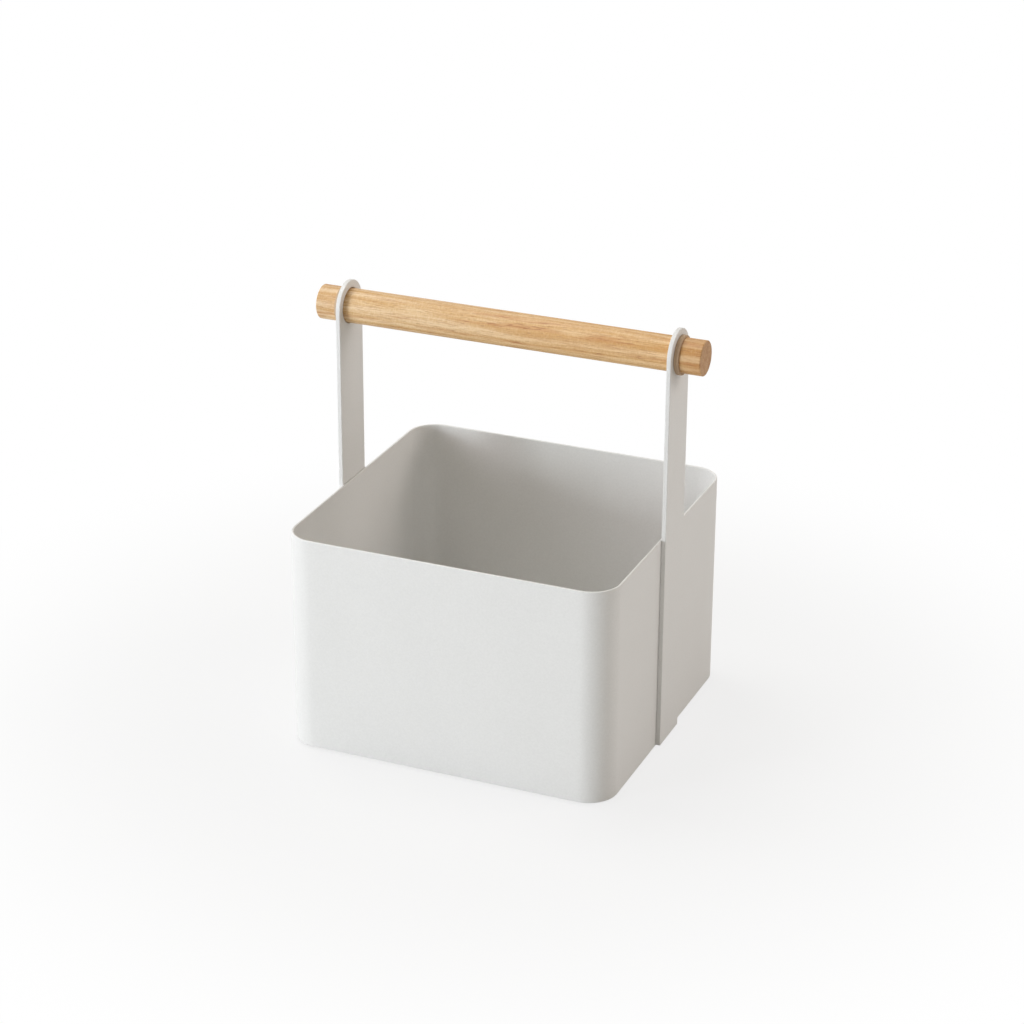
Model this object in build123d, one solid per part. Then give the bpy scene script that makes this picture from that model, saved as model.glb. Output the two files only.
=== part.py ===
from build123d import *
from math import acos, atan2, cos, isclose, sin, sqrt
import os

# Storage caddy: an open box of folded sheet steel with two flat uprights and a round wooden carrying handle.
# Millimetres, +Z up, +X to the right, front wall towards -Y, origin on the table under the middle of the box.

# Box walls
box_width = 160.0
box_depth = 153.0
wall_height = 105.0
wall_thickness = 1.0
corner_radius = 14.0            # outside of the four upright bends
rim_rounding = 0.3              # softened edges of the sheet along the rim
rim_share = 0.45                # most of the sheet's thickness that one rounded edge takes

# Floor, a pressed tray held inside the walls by its flange
floor_thickness = 1.0
floor_flange_height = 9.0
floor_bend_radius = 2.5         # outside of the bend between floor and flange
floor_recess = 1.5              # underside of the floor above the lower edge of the walls
flange_gap = 0.1                # between flange and walls

# Foot pads under the floor
ground_gap = 1.0                # lower edge of the walls above the table
foot_diameter = 10.0
foot_inset = 20.0               # centre of a pad from the outside of the walls
foot_rounding = 0.6

# Uprights, flat bars on the outside of the side walls
upright_width = 24.0            # at the foot of the bar
upright_thickness = 2.1
upright_rounding = 0.3          # softened edges all round the bar
handle_rise = 86.0              # axis of the handle above the rim of the box
head_margin = 3.82              # metal left round the handle hole
hole_rounding = 0.5             # softened edges of the handle hole

# Handle
handle_diameter = 16.2
handle_overhang = 12.1          # stub beyond each upright
handle_chamfer = 0.8
handle_clearance = 0.08         # all round in the holes, so that the handle turns

# Stop rings, each in a groove of the handle just outside an upright
ring_width = 2.1
ring_stand = 1.05               # height of a ring above the handle
ring_rounding = 0.5
ring_end_play = 0.15            # between ring and upright
groove_depth = 0.6
groove_side_gap = 0.05          # each side of the ring
groove_floor_gap = 0.03         # under the ring

# Levels and radii that follow from the sizes above
wall_bottom = ground_gap
rim_level = wall_bottom + wall_height
floor_bottom = wall_bottom + floor_recess
handle_level = rim_level + handle_rise
handle_radius = handle_diameter / 2
hole_radius = handle_radius + handle_clearance
head_radius = hole_radius + head_margin
inner_face = box_width / 2
outer_face = inner_face + upright_thickness
handle_length = 2 * (outer_face + handle_overhang)
ring_middle = outer_face + ring_end_play + ring_width / 2
groove_radius = handle_radius - groove_depth
groove_width = ring_width + 2 * groove_side_gap


def rounded_block(width, depth, radius, bottom, top):
    outline = RectangleRounded(width, depth, radius)
    return extrude(Plane.XY.offset(bottom) * outline, top - bottom)


def edges_at_level(shape, level):
    return shape.edges().filter_by_position(Axis.Z, level, level)


def make_wall_band():
    outer = rounded_block(box_width, box_depth, corner_radius, wall_bottom, rim_level)
    inner_width = box_width - 2 * wall_thickness
    inner_depth = box_depth - 2 * wall_thickness
    inner = rounded_block(inner_width, inner_depth, corner_radius - wall_thickness, wall_bottom, rim_level)
    band = outer - inner
    return fillet(edges_at_level(band, rim_level), min(rim_rounding, rim_share * wall_thickness))


def make_base_plate():
    inset = wall_thickness + flange_gap
    flange_top = floor_bottom + floor_flange_height
    outer = rounded_block(
        box_width - 2 * inset, box_depth - 2 * inset, corner_radius - inset, floor_bottom, flange_top)
    outer = fillet(edges_at_level(outer, floor_bottom), floor_bend_radius)
    floor_top = floor_bottom + floor_thickness
    hollow_inset = inset + floor_thickness
    hollow = rounded_block(
        box_width - 2 * hollow_inset, box_depth - 2 * hollow_inset, corner_radius - hollow_inset,
        floor_top, flange_top)
    hollow = fillet(edges_at_level(hollow, floor_top), floor_bend_radius - floor_thickness)
    return outer - hollow


def make_foot_pad(side, end):
    centre_x = side * (box_width / 2 - foot_inset)
    centre_y = end * (box_depth / 2 - foot_inset)
    pad = extrude(Pos(centre_x, centre_y) * Circle(foot_diameter / 2), floor_bottom)
    return fillet(edges_at_level(pad, 0), foot_rounding)


def bar_outline():
    # Straight sides rise from the square foot and run into the round head without a corner
    half_width = upright_width / 2
    rise = handle_level - wall_bottom
    reach = sqrt(half_width**2 + rise**2)
    touch_angle = acos(head_radius / reach) - atan2(rise, half_width)
    touch_y = head_radius * cos(touch_angle)
    touch_z = handle_level + head_radius * sin(touch_angle)
    sides = Polyline(
        (-touch_y, touch_z), (-half_width, wall_bottom), (half_width, wall_bottom), (touch_y, touch_z))
    crown = ThreePointArc((touch_y, touch_z), (0, handle_level + head_radius), (-touch_y, touch_z))
    return make_face(sides.edges() + crown.edges())


def make_right_upright():
    side_plane = Plane(origin=(inner_face, 0, 0), x_dir=(0, 1, 0), z_dir=(1, 0, 0))
    bar = extrude(side_plane * bar_outline(), upright_thickness)
    bar = fillet(bar.edges().filter_by_position(Axis.X, outer_face, outer_face), upright_rounding)
    bar -= extrude(side_plane * Pos(0, handle_level) * Circle(hole_radius), upright_thickness)
    circles = bar.edges().filter_by(GeomType.CIRCLE)
    hole_edges = [edge for edge in circles if isclose(edge.radius, hole_radius)]
    return fillet(hole_edges, hole_rounding)


def handle_cylinder(radius, length, middle=0):
    # A cylinder on the axis of the handle, with its middle at this distance along X
    return Pos(middle, 0, handle_level) * Rot(0, 90, 0) * Cylinder(radius, length)


def make_handle():
    rod = handle_cylinder(handle_radius, handle_length)
    rod = chamfer(rod.edges().filter_by(GeomType.CIRCLE), handle_chamfer)
    for side in (-1, 1):
        groove = handle_cylinder(handle_radius + ring_stand, groove_width, side * ring_middle)
        rod -= groove - handle_cylinder(groove_radius, groove_width, side * ring_middle)
    return rod


def make_stop_ring(side):
    ring = handle_cylinder(handle_radius + ring_stand, ring_width, side * ring_middle)
    ring = fillet(ring.edges().filter_by(GeomType.CIRCLE), ring_rounding)
    return ring - handle_cylinder(groove_radius + groove_floor_gap, ring_width, side * ring_middle)


pieces = {
    "wall_band": make_wall_band(),
    "base_plate": make_base_plate(),
    "upright_right": make_right_upright(),
    "handle_dowel": make_handle(),
}
pieces["upright_left"] = mirror(pieces["upright_right"], about=Plane.YZ)
for side_name, side in (("left", -1), ("right", 1)):
    pieces["handle_stop_ring_" + side_name] = make_stop_ring(side)
    for end_name, end in (("front", -1), ("rear", 1)):
        pieces["foot_pad_" + end_name + "_" + side_name] = make_foot_pad(side, end)

os.makedirs("parts", exist_ok=True)
for name, piece in pieces.items():
    export_step(piece, "parts/" + name + ".step")
    print(name, round(piece.volume, 2))
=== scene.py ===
import math

import bmesh
import bpy
import numpy as np
from mathutils import Matrix, Vector


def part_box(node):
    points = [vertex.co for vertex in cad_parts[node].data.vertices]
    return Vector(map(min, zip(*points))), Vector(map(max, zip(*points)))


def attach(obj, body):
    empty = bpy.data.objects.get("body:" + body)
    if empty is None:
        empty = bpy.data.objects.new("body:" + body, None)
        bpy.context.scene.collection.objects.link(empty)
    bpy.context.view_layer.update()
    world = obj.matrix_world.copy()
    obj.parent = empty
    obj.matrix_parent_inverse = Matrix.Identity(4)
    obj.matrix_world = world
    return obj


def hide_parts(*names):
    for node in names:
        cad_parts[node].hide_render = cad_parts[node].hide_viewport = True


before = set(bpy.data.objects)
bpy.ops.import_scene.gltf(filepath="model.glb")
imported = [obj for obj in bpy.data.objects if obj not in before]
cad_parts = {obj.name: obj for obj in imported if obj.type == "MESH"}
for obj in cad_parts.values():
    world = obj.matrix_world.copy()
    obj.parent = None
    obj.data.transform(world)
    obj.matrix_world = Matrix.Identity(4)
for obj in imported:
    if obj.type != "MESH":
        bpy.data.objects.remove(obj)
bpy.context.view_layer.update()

scene = bpy.context.scene
scene.view_settings.view_transform = "Standard"
mm = 0.001
hold = 0.12 * mm                # flat strip beside a rounded edge, so that shading stays flat up to it
weldReach = 1e-7                # points closer than this become one
print("frame loaded:", len(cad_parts), "nodes")


# Camera, fitted to the straight edges of the walls in the photograph
cameraValues = {
    "place": (0.4802, -1.1437, 0.6483),
    "turn": 22.71,              # degrees left of straight at the front wall
    "tilt": 23.80,              # degrees down
    "roll": 0.32,
    "focalLength": 102.14,      # mm, on a sensor of the next width
    "sensorWidth": 36,
    "nearest": 0.01,
}


def placeCamera(values):
    # turn and tilt give the view's right, back and up directions, and roll turns right and up about back
    turn, tilt, roll = (math.radians(values[key]) for key in ("turn", "tilt", "roll"))
    level = Vector((math.cos(turn), math.sin(turn), 0))
    back = Vector((math.sin(turn) * math.cos(tilt), -math.cos(turn) * math.cos(tilt), math.sin(tilt)))
    rise = back.cross(level)
    right = level * math.cos(roll) + rise * math.sin(roll)
    up = back.cross(right)
    data = bpy.data.cameras.new("photo_camera")
    data.sensor_fit = "HORIZONTAL"
    data.sensor_width = values["sensorWidth"]
    data.lens = values["focalLength"]
    data.clip_start = values["nearest"]
    camera = bpy.data.objects.new("photo_camera", data)
    scene.collection.objects.link(camera)
    turned = Matrix((right, up, back)).transposed().to_4x4()
    camera.matrix_world = Matrix.Translation(values["place"]) @ turned
    scene.camera = camera


placeCamera(cameraValues)
print("camera placed")


# Meshes from grids of points
def gridFaces(rows, columns, closedRows):
    # one quad per cell of the grid: the last column joins the first, and so does the last row where closed
    lastRow = rows if closedRows else rows - 1
    row, column = np.meshgrid(np.arange(lastRow), np.arange(columns), indexing="ij")
    nextRow = (row + 1) % rows
    nextColumn = (column + 1) % columns
    corners = (row * columns + column, row * columns + nextColumn,
               nextRow * columns + nextColumn, nextRow * columns + column)
    return np.stack(corners, axis=-1).reshape(-1, 4)


def makePiece(name, points, material, closedRows=False, marks=None):
    # points is a grid of rows by columns, closed round its columns, and marks holds one number per point
    # for the material to read
    rows, columns = points.shape[:2]
    mesh = bpy.data.meshes.new(name)
    faces = gridFaces(rows, columns, closedRows)
    mesh.from_pydata(points.reshape(-1, 3).tolist(), [], faces.tolist())
    for key, values in (marks or {}).items():
        layer = mesh.attributes.new(key, "FLOAT", "POINT")
        layer.data.foreach_set("value", np.ascontiguousarray(values, dtype=np.float32).ravel())
    shell = bmesh.new()
    shell.from_mesh(mesh)
    bmesh.ops.remove_doubles(shell, verts=shell.verts, dist=weldReach)      # closes the poles
    bmesh.ops.recalc_face_normals(shell, faces=shell.faces)
    shell.to_mesh(mesh)
    shell.free()
    mesh.polygons.foreach_set("use_smooth", np.ones(len(mesh.polygons), dtype=bool))
    mesh.materials.append(material)
    piece = bpy.data.objects.new(name, mesh)
    scene.collection.objects.link(piece)
    return piece


def setPiece(piece, body, node):
    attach(piece, body)
    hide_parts(node)


def arc(centre, radius, start, end, steps):
    # points of a circle about centre, from one angle in degrees to another
    angle = np.radians(np.linspace(start, end, steps))
    return np.stack([centre[0] + radius * np.cos(angle), centre[1] + radius * np.sin(angle)], axis=1)


def line(start, end, steps):
    return np.linspace(start, end, steps)


def turnedSurface(profile, steps, axisPoint, along):
    # a profile of (distance along the axis, radius) carried round the axis in equal steps
    angle = np.linspace(0, 2 * np.pi, steps, endpoint=False)
    distance = np.repeat(profile[:, :1], steps, axis=1)
    first = profile[:, 1:] * np.cos(angle)
    second = profile[:, 1:] * np.sin(angle)
    order = (distance, first, second) if along == "x" else (first, second, distance)
    return np.stack(order, axis=-1) + np.asarray(axisPoint)


# Materials
noiseReach = (0.3, 0.7)         # nearly all values of a noise lie between these
noiseCore = (0.35, 0.65)        # and most between these


def startMaterial(name):
    material = bpy.data.materials.new(name)
    material.use_nodes = True
    tree = material.node_tree
    return material, tree, tree.nodes["Principled BSDF"]


def setInput(tree, socket, value):
    if isinstance(value, bpy.types.NodeSocket):
        tree.links.new(value, socket)
    else:
        socket.default_value = value


def addNode(tree, kind, inputs=None, **settings):
    node = tree.nodes.new(kind)
    for key, value in settings.items():
        setattr(node, key, value)
    for key, value in (inputs or {}).items():
        setInput(tree, node.inputs[key], value)
    return node


def addMath(tree, operation, first, second=0.0, third=0.0):
    return addNode(tree, "ShaderNodeMath", {0: first, 1: second, 2: third}, operation=operation).outputs[0]


def addMean(tree, first, second, share):
    # this share of the first value and the rest of the second
    return addMath(tree, "MULTIPLY_ADD", first, share, addMath(tree, "MULTIPLY", second, 1 - share))


def addMix(tree, factor, first, second, blend="MIX"):
    # sockets 6 and 7 are the colours of a colour mix
    inputs = {0: factor, 6: first, 7: second}
    return addNode(tree, "ShaderNodeMix", inputs, data_type="RGBA", blend_type=blend).outputs[2]


def addRange(tree, value, reach, result=(0.0, 1.0)):
    return addNode(tree, "ShaderNodeMapRange", {
        "Value": value, "From Min": reach[0], "From Max": reach[1],
        "To Min": result[0], "To Max": result[1]}).outputs[0]


def addRamp(tree, factor, stops):
    node = addNode(tree, "ShaderNodeValToRGB", {0: factor})
    ramp = node.color_ramp
    while len(ramp.elements) < len(stops):
        ramp.elements.new(0.5)
    for element, (position, colour) in zip(ramp.elements, stops):
        element.position = position
        element.color = colour
    return node.outputs[0]


def addNoise(tree, vector, scale, detail=2.0, roughness=0.5):
    return addNode(tree, "ShaderNodeTexNoise", {
        "Vector": vector, "Scale": scale, "Detail": detail, "Roughness": roughness}).outputs[0]


def addBump(tree, height, depth, under=None):
    inputs = {"Height": height, "Distance": depth}
    if under is not None:       # the normal of a coarser bump
        inputs["Normal"] = under
    return addNode(tree, "ShaderNodeBump", inputs).outputs[0]


def linkSurface(tree, shader, colour, roughNoise, roughness, normal):
    # the roughness goes from its first value to its second with the noise
    setInput(tree, shader.inputs["Base Color"], colour)
    setInput(tree, shader.inputs["Roughness"], addRange(tree, roughNoise, noiseReach, roughness))
    setInput(tree, shader.inputs["Normal"], normal)


def objectPlace(tree):
    return addNode(tree, "ShaderNodeTexCoord").outputs["Object"]


def grey(value):
    return (value, value, value, 1)


coatValues = {
    "colour": (0.80, 0.795, 0.78, 1),
    "dullColour": (0.762, 0.757, 0.742, 1),     # where the coat lies a little thinner
    "roughness": (0.46, 0.58),
    "cloudScale": 35,                           # per metre, slow unevenness
    "grainScale": 1050,                         # per metre, the fine texture of the powder
    "grainRoughness": 0.6,
    "peelScale": 420,                           # per metre, its slow ripple
    "grainShare": 0.75,                         # of the mottling, which follows the cloud for the rest
    "grainDepth": 0.028 * mm,
    "peelDepth": 0.02 * mm,
}


def makeCoat(values):
    # Mottling is a weighted mean of fine grain and slow cloud. The grain's bump lies on the ripple's bump.
    material, tree, shader = startMaterial("powder_coat_white")
    place = objectPlace(tree)
    cloud = addNoise(tree, place, values["cloudScale"], 3)
    grain = addNoise(tree, place, values["grainScale"], 3, values["grainRoughness"])
    peel = addNoise(tree, place, values["peelScale"], 2)
    mottle = addRange(tree, addMean(tree, grain, cloud, values["grainShare"]), noiseCore)
    colour = addMix(tree, mottle, values["dullColour"], values["colour"])
    ripple = addBump(tree, peel, values["peelDepth"])
    bump = addBump(tree, grain, values["grainDepth"], ripple)
    linkSurface(tree, shader, colour, grain, values["roughness"], bump)
    return material


woodValues = {
    "pale": (0.83, 0.61, 0.363, 1),
    "deep": (0.62, 0.36, 0.128, 1),
    "flush": (0.57, 0.285, 0.11, 1),            # redder wood where the streaks gather
    "streak": (0.48, 0.21, 0.07, 1),
    "pore": (0.36, 0.14, 0.045, 1),
    "endTint": (0.79, 0.73, 0.66, 1),           # the cut ends take up more oil
    "tintReach": 95,                            # mm to either side of the handle's middle
    "tintsWithStubShade": [                                  # mm along the handle and the tint there
        (-88, (0.95, 0.93, 0.93, 1)), (-76, (1, 1, 1, 1)), (-40, (1, 1, 1, 1)),
        # the last stop, at 88 mm, is painted shade: the right upright's shadow on the stub
        (20, (0.975, 0.918, 0.835, 1)), (76, (0.975, 0.918, 0.835, 1)), (88, (0.83, 0.72, 0.60, 1))],
    "turn": 240.0,                              # degrees about the axis, which side of the rod is in front
    "wander": 3.0,                              # mm, how far the grain strays from the axis
    "driftSize": (65, 14),                      # these sizes are mm along the handle and across it
    "warpSize": (110, 9),
    "fibreSize": (40, 0.55),
    "bandSize": (110, 3.0),
    "gatherSize": (40, 2.0),
    "fleckSize": (0.75, 1.3),                   # fine rays across the grain
    "streakSize": (13, 0.36),
    "poreSize": (4.5, 0.45),
    "fibreRoughness": 0.72,
    "ringSpacing": 2.3,                         # mm
    "ringCentre": (-30.0, -19.0),               # mm from the handle's axis, front to rear and up
    "ringWarp": 5.0,                            # mm
    "ringTones": [(0.0, 0.85), (0.12, 1.0), (0.45, 0.25), (0.85, 0.0), (1.0, 0.75)],    # early wood is 1
    "fibreShare": 0.42,                         # of the tone, which follows the bands for the rest
    "earlyShare": 0.10,                         # how much the early wood darkens the tone
    "fleckShare": 0.22,
    "flushShare": 0.6,
    "streakShare": (0.55, 0.4),                 # everywhere, and added where streaks gather
    "poreShare": (0.28, 0.20, 0.35),            # everywhere, added in early wood and where streaks gather
    "toneReach": (0.32, 0.555),                 # noise values that these features start and end at
    "gatherReach": (0.55, 0.68),
    "streakReach": (0.59, 0.70),
    "poreReach": (0.57, 0.68),
    "roughness": (0.46, 0.64),
    "fibreHeight": 0.3,                         # in pore depths
    "poreDepth": 0.02 * mm,
}


def addStretch(tree, vector, size):
    # so that one unit of noise is this long along the handle and this wide across it
    along, across = size
    return addNode(tree, "ShaderNodeMapping", {
        "Vector": vector, "Scale": (1 / along, 1 / across, 1 / across)}).outputs[0]


def woodPlace(tree, axisLevel, values):
    # Millimetres from the handle's axis, turned about it, and moved across it by the colours of a slow
    # noise, so that the grain wanders
    centred = addNode(tree, "ShaderNodeMapping", {
        "Vector": objectPlace(tree), "Location": (0, 0, -axisLevel / mm),
        "Scale": (1 / mm, 1 / mm, 1 / mm)}).outputs[0]
    straight = addNode(tree, "ShaderNodeMapping", {
        "Vector": centred, "Rotation": (math.radians(values["turn"]), 0, 0)}).outputs[0]
    slow = addStretch(tree, straight, values["driftSize"])
    drift = addNode(tree, "ShaderNodeTexNoise", {"Vector": slow, "Scale": 1.0, "Detail": 1.0})
    across = (0, values["wander"], values["wander"])
    return addNode(tree, "ShaderNodeVectorMath", {
        0: drift.outputs["Color"], 1: across, 2: straight}, operation="MULTIPLY_ADD").outputs[0]


def earlyWood(tree, parts, warp, values):
    # growth rings: distance from the log's centre line, bent by a slow noise and counted in ring spacings
    toFront = addMath(tree, "SUBTRACT", parts[1], values["ringCentre"][0])
    toTop = addMath(tree, "SUBTRACT", parts[2], values["ringCentre"][1])
    squares = addMath(tree, "MULTIPLY_ADD", toFront, toFront, addMath(tree, "MULTIPLY", toTop, toTop))
    away = addMath(tree, "MULTIPLY_ADD", warp, values["ringWarp"], addMath(tree, "SQRT", squares))
    year = addMath(tree, "FRACT", addMath(tree, "DIVIDE", away, values["ringSpacing"]))
    return addRamp(tree, year, [(at, grey(tone)) for at, tone in values["ringTones"]])


def makeWood(axisLevel, values):
    material, tree, shader = startMaterial("handle_oak")
    place = woodPlace(tree, axisLevel, values)
    parts = addNode(tree, "ShaderNodeSeparateXYZ", {0: place}).outputs

    def grainNoise(size, detail=1.0, roughness=0.5):
        return addNoise(tree, addStretch(tree, place, values[size]), 1.0, detail, roughness)

    early = earlyWood(tree, parts, grainNoise("warpSize", 2), values)
    fibre = grainNoise("fibreSize", 4, values["fibreRoughness"])
    gather = addRange(tree, grainNoise("gatherSize", 2), values["gatherReach"])
    # ground tone: long fibres and slow bands, less the early wood, with fine flecks about their mean
    tone = addMean(tree, fibre, grainNoise("bandSize", 2), values["fibreShare"])
    tone = addMath(tree, "SUBTRACT", tone, addMath(tree, "MULTIPLY", early, values["earlyShare"]))
    fleck = addMath(tree, "SUBTRACT", grainNoise("fleckSize", 2), 0.5)
    tone = addMath(tree, "MULTIPLY_ADD", fleck, values["fleckShare"], tone)
    # ground colour from the tone, redder where streaks gather, and tinted along the handle, with painted
    # shade on the right stub
    colour = addMix(tree, addRange(tree, tone, values["toneReach"]), values["deep"], values["pale"])
    colour = addMix(tree, addMath(tree, "MULTIPLY", gather, values["flushShare"]), colour, values["flush"])
    reach = values["tintReach"]
    stops = [((at + reach) / (2 * reach), toneAndStubShade) for at, toneAndStubShade in values["tintsWithStubShade"]]
    toneAndStubShade = addRamp(tree, addRange(tree, parts[0], (-reach, reach)), stops)
    colour = addMix(tree, 1.0, colour, toneAndStubShade, "MULTIPLY")
    # thin dark streaks and short pores, more of them where streaks gather, and more pores in the early wood
    plain, gathered = values["streakShare"]
    strength = addMath(tree, "MULTIPLY_ADD", gather, gathered, plain)
    streaks = addMath(tree, "MULTIPLY", strength, addRange(
        tree, grainNoise("streakSize"), values["streakReach"]))
    plain, inEarly, gathered = values["poreShare"]
    strength = addMath(tree, "MULTIPLY_ADD", early, inEarly, plain)
    strength = addMath(tree, "MULTIPLY_ADD", gather, gathered, strength)
    pores = addMath(tree, "MULTIPLY", strength, addRange(tree, grainNoise("poreSize"), values["poreReach"]))
    colour = addMix(tree, streaks, colour, values["streak"])
    colour = addMix(tree, pores, colour, values["pore"])
    endMark = addNode(tree, "ShaderNodeAttribute", attribute_name="endGrain").outputs["Fac"]
    colour = addMix(tree, endMark, colour, addMix(tree, 1.0, colour, values["endTint"], "MULTIPLY"))
    # raised fibres, and hollows where streaks and pores are
    hollow = addMath(tree, "ADD", pores, streaks)
    height = addMath(tree, "SUBTRACT", addMath(tree, "MULTIPLY", fibre, values["fibreHeight"]), hollow)
    bump = addBump(tree, height, values["poreDepth"])
    linkSurface(tree, shader, colour, fibre, values["roughness"], bump)
    return material


ringRubberValues = {
    "colour": (0.56, 0.40, 0.263, 1),
    "worn": (0.495, 0.347, 0.22, 1),
    "roughness": (0.62, 0.78),
    "cloudScale": 260,                          # per metre
    "grainScale": 1800,
    "grainDepth": 0.02 * mm,
}
footRubberValues = {
    "colour": (0.70, 0.70, 0.68, 1),
    "worn": (0.60, 0.60, 0.58, 1),
    "roughness": (0.60, 0.76),
    "cloudScale": 260,
    "grainScale": 1500,
    "grainDepth": 0.02 * mm,
}


def makeRubber(name, values):
    # a slow noise goes between worn and fresh colour, and a fine one gives roughness and bump
    material, tree, shader = startMaterial(name)
    place = objectPlace(tree)
    cloud = addNoise(tree, place, values["cloudScale"], 3)
    grain = addNoise(tree, place, values["grainScale"], 2)
    colour = addMix(tree, addRange(tree, cloud, noiseCore), values["worn"], values["colour"])
    bump = addBump(tree, grain, values["grainDepth"])
    linkSurface(tree, shader, colour, grain, values["roughness"], bump)
    return material


handleLow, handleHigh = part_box("handle_dowel")
handleLevel = (handleLow.z + handleHigh.z) / 2
coat = makeCoat(coatValues)
wood = makeWood(handleLevel, woodValues)
ringRubber = makeRubber("ring_rubber_tan", ringRubberValues)
footRubber = makeRubber("foot_rubber_grey", footRubberValues)
print("materials made")


# Walls
wallValues = {
    "cornerRadius": 14 * mm,
    "thickness": 1 * mm,
    "rimRounding": 0.42 * mm,
    "footRounding": 0.2 * mm,
    "cornerSteps": 20,
    "sideSteps": 36,
    "rimSteps": 7,
    "footSteps": 4,
    "rows": 26,
    "seamDepth": 0.1 * mm,      # ground weld down the middle of the rear wall
    "seamWidth": 0.45 * mm,
    "seamSteps": 17,
}


def boxContour(high, values):
    # Rounded rectangle, anticlockwise from the front right corner: four quarter circles joined by straight
    # sides. Gives each point and the direction straight out of the wall there.
    radius = values["cornerRadius"]
    reach = np.array([high.x - radius, high.y - radius])
    signs = np.array([[1, -1], [1, 1], [-1, 1], [-1, -1]])
    seamReach = values["seamWidth"] / reach[0]          # two seam widths, as a share of the rear wall
    seam = 0.5 + seamReach * np.linspace(-1, 1, values["seamSteps"])
    points, outward = [], []
    for corner, sign in enumerate(signs):
        bend = arc((0, 0), 1, 90 * corner - 90, 90 * corner, values["cornerSteps"])
        points.append(sign * reach + radius * bend)
        outward.append(bend)
        spots = np.linspace(0, 1, values["sideSteps"] + 1)[1:-1]
        if corner == 1:         # the rear wall, with closer points at its seam
            spots = np.sort(np.concatenate([spots[abs(spots - 0.5) > seamReach], seam]))
        start = sign * reach + radius * bend[-1]
        end = signs[(corner + 1) % 4] * reach + radius * bend[-1]
        points.append(start + spots[:, None] * (end - start))
        outward.append(np.repeat(bend[-1:], len(spots), axis=0))
    return np.concatenate(points), np.concatenate(outward)


def wallProfile(low, high, values):
    # The sheet's section, as depth in from the outer face and level, from the lower edge up the outer face,
    # over the rounded rim and down the inner face
    sheet, rim, foot = values["thickness"], values["rimRounding"], values["footRounding"]
    bottom, top = low.z + foot, high.z - rim
    return np.concatenate([
        arc((foot, bottom), foot, 270, 180, values["footSteps"]),
        line((0, bottom + hold), (0, top - hold), values["rows"]),
        arc((rim, top), rim, 180, 90, values["rimSteps"]),
        arc((sheet - rim, top), rim, 90, 0, values["rimSteps"]),
        line((sheet, top - hold), (sheet, bottom + hold), values["rows"]),
        arc((sheet - foot, bottom), foot, 0, -90, values["footSteps"]),
    ])


def bandSurface(contour, outward, profile):
    # the profile carried round the contour: each point goes in by the depth and up to the level
    flat = contour[None] - profile[:, :1, None] * outward[None]
    level = np.repeat(profile[:, 1:], len(contour), axis=1)
    return np.concatenate([flat, level[..., None]], axis=2)


def cutSeam(walls, contour, outward, section, values):
    # the weld seam is a shallow bell-shaped groove in the outer face of the rear wall
    bell = np.exp(-(contour[:, 0] / values["seamWidth"]) ** 2)
    groove = values["seamDepth"] * bell * (outward[:, 1] > 0.999)
    onOuter = section[:, 0] < weldReach
    walls[..., 1] -= onOuter[:, None] * groove[None]


wallLow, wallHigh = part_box("wall_band")
contour, outward = boxContour(wallHigh, wallValues)
wallSection = wallProfile(wallLow, wallHigh, wallValues)
walls = bandSurface(contour, outward, wallSection)
cutSeam(walls, contour, outward, wallSection, wallValues)
wallSheet = makePiece("wall_sheet", walls, coat, closedRows=True)
setPiece(wallSheet, "caddy", "wall_band")
print("walls made")


# Floor, a pressed tray
trayValues = {
    "gap": 0.1 * mm,            # between flange and walls
    "thickness": 1 * mm,
    "bendRadius": 2.5 * mm,
    "edgeRounding": 0.4 * mm,
    "bendSteps": 9,
    "edgeSteps": 6,
    "flangeRows": 4,
    "spans": 10,                # rings of faces from the middle to the bend
}


def traySurface(low, high, contour, outward, wallThickness, values):
    # From the middle of the floor's upper face out to the bend, up the flange, over its edge, down outside,
    # round the bend and back to the middle of the underside. The floor's rows are the contour shrunk
    # to a point.
    sheet, bend, edge = values["thickness"], values["bendRadius"], values["edgeRounding"]
    skin = wallThickness + values["gap"]
    pivot = (skin + bend, low.z + bend)
    top = high.z - edge
    profile = np.concatenate([
        arc(pivot, bend - sheet, 270, 180, values["bendSteps"]),
        line((skin + sheet, pivot[1] + hold), (skin + sheet, top - hold), values["flangeRows"]),
        arc((skin + sheet - edge, top), edge, 0, 90, values["edgeSteps"]),
        arc((skin + edge, top), edge, 90, 180, values["edgeSteps"]),
        line((skin, top - hold), (skin, pivot[1] + hold), values["flangeRows"]),
        arc(pivot, bend, 180, 270, values["bendSteps"]),
    ])
    flange = bandSurface(contour, outward, profile)
    shares = np.linspace(0, 1, values["spans"] + 1)[:-1]
    shares = np.append(shares, 1 - hold / high.x)
    inner = (contour - pivot[0] * outward)[None] * shares[:, None, None]
    upper = np.concatenate([inner, np.full(inner.shape[:2] + (1,), low.z + sheet)], axis=2)
    under = np.concatenate([inner, np.full(inner.shape[:2] + (1,), low.z)], axis=2)
    return np.concatenate([upper, flange, under[::-1]])


floorLow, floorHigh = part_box("base_plate")
tray = traySurface(floorLow, floorHigh, contour, outward, wallValues["thickness"], trayValues)
floorTray = makePiece("floor_tray", tray, coat)
setPiece(floorTray, "caddy", "base_plate")
print("floor made")


# Uprights
barValues = {
    "edgeRounding": 0.32 * mm,
    "backRounding": 0.25 * mm,
    "holeRadius": 8.4 * mm,     # with the shadow line that shows round the handle
    "holeRounding": 0.3 * mm,
    "footRadius": 0.6 * mm,     # lower corners of the bar
    "sideTurn": 52,             # degrees of the hole's edge that a side of the bar is joined to
    "cornerTurn": 6,            # and a lower corner
    "headSteps": 64,
    "sideSteps": 26,
    "soleSteps": 12,
    "cornerSteps": 6,
    "edgeSteps": 6,
    "backSteps": 5,
    "narrowRows": 3,            # across the thickness, between two rounded edges
}


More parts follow.
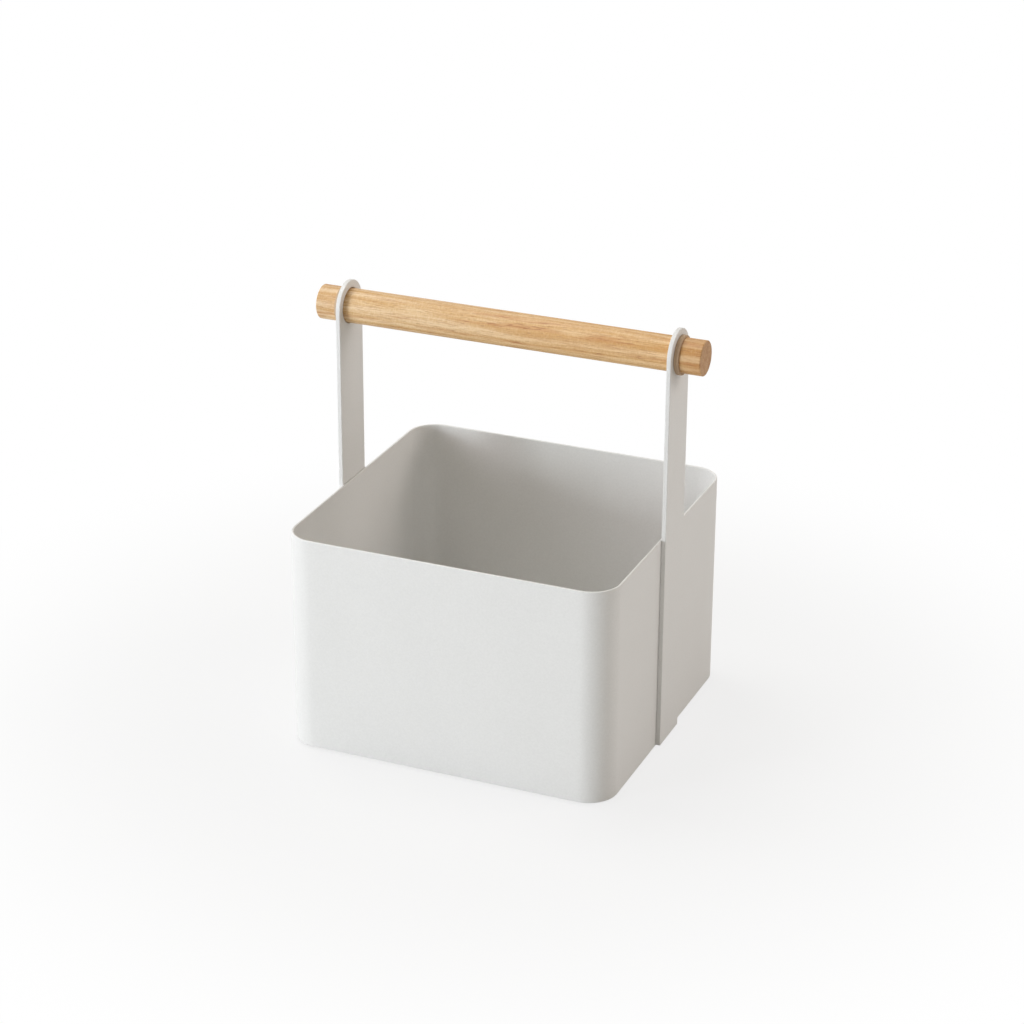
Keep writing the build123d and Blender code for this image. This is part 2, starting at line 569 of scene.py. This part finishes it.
def barOutline(low, high, values):
    # Front to rear and level, anticlockwise: half circle of the head, side, small foot corner, foot, corner
    # and side. Gives the outline and its outward direction.
    half = (high.y - low.y) / 2
    foot = values["footRadius"]
    head = high.z - half
    crown = arc((0, 0), 1, 0, 180, values["headSteps"])
    cornerLeft = arc((0, 0), 1, 180, 270, values["cornerSteps"])
    cornerRight = arc((0, 0), 1, 270, 360, values["cornerSteps"])
    leftSide = line((-half, head), (-half, low.z + foot), values["sideSteps"])[1:-1]
    rightSide = line((half, low.z + foot), (half, head), values["sideSteps"])[1:-1]
    sole = line((-half + foot, low.z), (half - foot, low.z), values["soleSteps"])[1:-1]
    outline = np.concatenate([
        crown * half + (0, head), leftSide, cornerLeft * foot + (-half + foot, low.z + foot), sole,
        cornerRight * foot + (half - foot, low.z + foot), rightSide])
    outward = np.concatenate([
        crown, np.tile((-1.0, 0.0), (len(leftSide), 1)), cornerLeft, np.tile((0.0, -1.0), (len(sole), 1)),
        cornerRight, np.tile((1.0, 0.0), (len(rightSide), 1))])
    return outline, outward


def holeAngles(values):
    # the angle round the handle hole that each point of the outline is joined to, stretch by stretch
    side, corner = values["sideTurn"], values["cornerTurn"]
    stops = np.cumsum([0, 180, side, corner, 180 - 2 * (side + corner), corner, side])
    counts = [values[key] for key in (
        "headSteps", "sideSteps", "cornerSteps", "soleSteps", "cornerSteps", "sideSteps")]
    stretches = [np.linspace(*span) for span in zip(stops[:-1], stops[1:], counts)]
    stretches[1::2] = [stretch[1:-1] for stretch in stretches[1::2]]        # straight ones share their ends
    return np.radians(np.concatenate(stretches))


def barSurface(low, high, side, holeLevel, values):
    # The plate's section carried round it: hole wall, rounded hole edge, outer face, rounded edge, narrow
    # side, rounded back edge, back face and back to the hole. Rows at the hole are circles about it, rows at
    # the edge are the outline moved in by an inset, and straight lines in the flat faces join the two.
    outline, outward = barOutline(low, high, values)
    angle = holeAngles(values)
    thick = high.x - low.x
    hole, lip = values["holeRadius"], values["holeRounding"]
    edge, back = values["edgeRounding"], values["backRounding"]
    steps, narrow = values["edgeSteps"], values["narrowRows"]
    holeRows = np.concatenate([
        line((hole, lip + hold), (hole, thick - lip - hold), narrow),
        arc((hole + lip, thick - lip), lip, 180, 90, steps),
        [(hole + lip + hold, thick)]])
    edgeRows = np.concatenate([
        [(edge + hold, thick)],
        arc((edge, thick - edge), edge, 90, 180, steps),
        line((0, thick - edge - hold), (0, back + hold), narrow),
        arc((back, back), back, 180, 270, values["backSteps"]),
        [(back + hold, 0)]])
    backRows = np.concatenate([
        [(hole + lip + hold, 0)],
        arc((hole + lip, lip), lip, 270, 180, steps)])
    around = np.stack([np.cos(angle), np.sin(angle)], axis=1)

    def onCircle(rows):
        return (0, holeLevel) + rows[:, :1, None] * around[None]

    onOutline = outline[None] - edgeRows[:, :1, None] * outward[None]
    flat = np.concatenate([onCircle(holeRows), onOutline, onCircle(backRows)])
    height = np.concatenate([holeRows, edgeRows, backRows])[:, 1:]
    base = low.x if side > 0 else high.x
    across = np.repeat((base + side * height)[..., None], len(outline), axis=1)
    return np.concatenate([across, flat], axis=2)


for sideName, side in (("left", -1), ("right", 1)):
    node = "upright_" + sideName
    barLow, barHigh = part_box(node)
    bar = barSurface(barLow, barHigh, side, handleLevel, barValues)
    barPiece = makePiece("upright_bar_" + sideName, bar, coat, closedRows=True)
    setPiece(barPiece, "caddy", node)
print("uprights made")


# Handle
rodValues = {
    "chamfer": 0.35 * mm,                       # the right end shows a crisp edge
    "grooveRadius": 7.5 * mm,
    "grooveGaps": (0.05 * mm, 0.17 * mm),       # beyond the ring, towards the handle's end and the upright
    "grooveBevel": 0.02 * mm,
    "endDepth": 0.02 * mm,                      # of the face that counts as end grain
    "steps": 128,
    "rows": 60,
    "endRows": 7,
    "chamferSteps": 9,
    "stubRows": 6,
}


def rodProfile(low, high, ringStart, ringEnd, values):
    # Distance along the axis and radius: middle of the left end, its softened chamfer, the stub, the ring's
    # groove, the long side, and the same mirrored to the middle of the right end
    radius = (high.z - low.z) / 2
    chamfer, dip, bevel = values["chamfer"], values["grooveRadius"], values["grooveBevel"]
    # halfway between a straight chamfer and a quarter round
    even = np.linspace(0, 1, values["chamferSteps"])
    turn = even * np.pi / 2
    softened = np.stack([
        low.x + chamfer * (even + 1 - np.cos(turn)) / 2,
        radius - chamfer + chamfer * (even + np.sin(turn)) / 2], axis=1)
    face = line((low.x, 0), (low.x, radius - chamfer), values["endRows"])
    face[-1, 1] -= hold
    start, end = ringStart - values["grooveGaps"][0], ringEnd + values["grooveGaps"][1]
    stub = line((low.x + chamfer + hold, radius), (start - bevel - hold, radius), values["stubRows"])
    groove = np.array([
        (start - bevel, radius), (start, radius - bevel), (start, dip),
        (end, dip), (end, radius - bevel), (end + bevel, radius)])
    half = np.concatenate([face, softened, stub, groove])
    middle = line((end + bevel + hold, radius), (-end - bevel - hold, radius), values["rows"])
    return np.concatenate([half, middle, (half * (-1, 1))[::-1]])


ringBoxes = [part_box("handle_stop_ring_" + sideName) for sideName in ("left", "right")]
rodSection = rodProfile(handleLow, handleHigh, ringBoxes[0][0].x, ringBoxes[0][1].x, rodValues)
rod = turnedSurface(rodSection, rodValues["steps"], (0, 0, handleLevel), "x")
onEnd = np.abs(rodSection[:, 0]) > handleHigh.x - rodValues["endDepth"]
endGrain = np.repeat(onEnd.astype(float)[:, None], rodValues["steps"], axis=1)
handleRod = makePiece("handle_rod", rod, wood, marks={"endGrain": endGrain})
setPiece(handleRod, "handle", "handle_dowel")
print("handle made")


# Stop rings
ringValues = {
    "innerRadius": 7.53 * mm,
    "seat": 0.12 * mm,          # squeezed out towards the upright
    "rounding": 0.5 * mm,
    "seatRounding": 0.2 * mm,
    "innerRounding": 0.1 * mm,
    "steps": 96,
    "roundingSteps": 8,
    "seatSteps": 5,
    "innerSteps": 4,
}


def ringProfile(low, high, side, values):
    # Closed section, as distance along the axis and radius, drawn for the right ring and mirrored for the
    # left one: bore, flat against the upright, outer face, soft outer corner
    outer = (high.z - low.z) / 2
    near = min(abs(low.x), abs(high.x)) - values["seat"]
    far = max(abs(low.x), abs(high.x))
    inner, small = values["innerRadius"], values["innerRounding"]
    soft, seat = values["rounding"], values["seatRounding"]
    drawn = np.concatenate([
        arc((near + small, inner + small), small, 270, 180, values["innerSteps"]),
        arc((near + seat, outer - seat), seat, 180, 90, values["seatSteps"]),
        arc((far - soft, outer - soft), soft, 90, 0, values["roundingSteps"]),
        arc((far - small, inner + small), small, 0, -90, values["innerSteps"])])
    return drawn * (side, 1)


for sideName, side, (ringLow, ringHigh) in zip(("left", "right"), (-1, 1), ringBoxes):
    ringSection = ringProfile(ringLow, ringHigh, side, ringValues)
    ring = turnedSurface(ringSection, ringValues["steps"], (0, 0, handleLevel), "x")
    ringPiece = makePiece("stop_ring_" + sideName, ring, ringRubber, closedRows=True)
    setPiece(ringPiece, "handle", "handle_stop_ring_" + sideName)
print("stop rings made")


# Foot pads
padValues = {
    "rounding": 0.6 * mm,
    "upperRounding": 0.1 * mm,
    "steps": 56,
    "roundingSteps": 8,
    "upperSteps": 4,
    "rows": 4,
}


def padProfile(low, high, values):
    # level and radius, from the middle of the sole round the softened edge to the middle of the upper face
    radius = (high.x - low.x) / 2
    soft, small = values["rounding"], values["upperRounding"]
    side = arc((radius - soft, low.z + soft), soft, 270, 360, values["roundingSteps"])
    upper = arc((radius - small, high.z - small), small, 0, 90, values["upperSteps"])
    rounded = np.concatenate([side, upper])[:, ::-1]
    return np.concatenate([
        line((low.z, 0), (low.z, radius - soft - hold), values["rows"]), rounded,
        line((high.z, radius - small - hold), (high.z, 0), values["rows"])])


for endName in ("front", "rear"):
    for sideName in ("left", "right"):
        node = "foot_pad_" + endName + "_" + sideName
        padLow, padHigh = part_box(node)
        middle = ((padLow.x + padHigh.x) / 2, (padLow.y + padHigh.y) / 2, 0)
        pad = turnedSurface(padProfile(padLow, padHigh, padValues), padValues["steps"], middle, "z")
        padPiece = makePiece("rubber_foot_" + endName + "_" + sideName, pad, footRubber)
        setPiece(padPiece, "caddy", node)
print("foot pads made")


# Floor of the studio, lamps and world
stageValues = {
    "halfSize": 4.0,
    "floorColour": (0.68, 0.68, 0.68, 1),
    "shadowShare": 0.22,        # how much of the real shadow shows on the white floor beside the box
    "shadowReach": (0.12, 0.34),        # metres from the box's middle, where it starts to fade and ends
    "worldColour": (1.0, 0.945, 0.836, 1),
    "worldStrength": 0.306,
}


def seenDirectly(tree):
    # 1 for rays that show the background itself, in view, in a gloss or through glass
    path = addNode(tree, "ShaderNodeLightPath").outputs
    seen = addMath(tree, "MAXIMUM", path["Is Camera Ray"], path["Is Glossy Ray"])
    return addMath(tree, "MAXIMUM", seen, path["Is Transmission Ray"])


def makeStudioFloor(values):
    # Matt floor for the light, seen as plain white with a share of the real shadow that fades with distance
    size = values["halfSize"]
    mesh = bpy.data.meshes.new("studio_floor")
    corners = [(-size, -size, 0), (size, -size, 0), (size, size, 0), (-size, size, 0)]
    mesh.from_pydata(corners, [], [(0, 1, 2, 3)])
    floor = bpy.data.objects.new("studio_floor", mesh)
    scene.collection.objects.link(floor)
    material, tree, shader = startMaterial("studio_white")
    tree.nodes.remove(shader)
    away = addNode(tree, "ShaderNodeVectorMath", {0: objectPlace(tree)}, operation="LENGTH")
    near, far = values["shadowReach"]
    whiteShare = addNode(tree, "ShaderNodeMapRange", {
        "Value": away.outputs["Value"], "From Min": near, "From Max": far,
        "To Min": 1 - values["shadowShare"], "To Max": 1.0}, interpolation_type="SMOOTHSTEP").outputs[0]
    matt = addNode(tree, "ShaderNodeBsdfDiffuse", {"Color": values["floorColour"]}).outputs[0]
    white = addNode(tree, "ShaderNodeEmission", {"Color": grey(1), "Strength": 1.0}).outputs[0]
    veil = addMath(tree, "MULTIPLY", seenDirectly(tree), whiteShare)
    mixed = addNode(tree, "ShaderNodeMixShader", {0: veil, 1: matt, 2: white}).outputs[0]
    tree.links.new(mixed, tree.nodes["Material Output"].inputs["Surface"])
    mesh.materials.append(material)


def makeWorld(values):
    world = bpy.data.worlds.new("studio_world")
    scene.world = world
    world.use_nodes = True
    tree = world.node_tree
    light = tree.nodes["Background"]
    light.inputs["Color"].default_value = values["worldColour"]
    light.inputs["Strength"].default_value = values["worldStrength"]
    plain = addNode(tree, "ShaderNodeBackground", {"Color": grey(1), "Strength": 1.0}).outputs[0]
    mixed = addNode(tree, "ShaderNodeMixShader", {
        0: seenDirectly(tree), 1: light.outputs[0], 2: plain}).outputs[0]
    tree.links.new(mixed, tree.nodes["World Output"].inputs["Surface"])


lampValues = {
    # name: place, point aimed at, side of the square in metres, watts, colour
    "key_lamp": ((-1.9, -1.85, 1.0), (0, 0, 0.1), 1.0, 16.0, (0.98, 0.93, 1.0)),
    "low_lamp": ((-1.15, -1.75, 0.25), (0, 0, 0.12), 0.5, 20.0, (0.87, 0.95, 1.0)),
    "top_lamp": ((-1.0, 0.3, 2.2), (0, 0, 0.1), 1.3, 28.0, (0.985, 1.0, 0.99)),
    "fill_lamp": ((2.1, 0.9, 1.1), (0, 0, 0.08), 1.4, 17.0, (1.0, 0.915, 0.87)),
}


def makeLamps(values):
    for name, (place, aim, size, power, colour) in values.items():
        data = bpy.data.lights.new(name, "AREA")
        data.size = size
        data.energy = power
        data.color = colour
        lamp = bpy.data.objects.new(name, data)
        scene.collection.objects.link(lamp)
        turned = (Vector(aim) - Vector(place)).to_track_quat("-Z", "Y").to_matrix().to_4x4()
        lamp.matrix_world = Matrix.Translation(place) @ turned


makeStudioFloor(stageValues)
makeWorld(stageValues)
makeLamps(lampValues)
print("floor, world and lamps made")
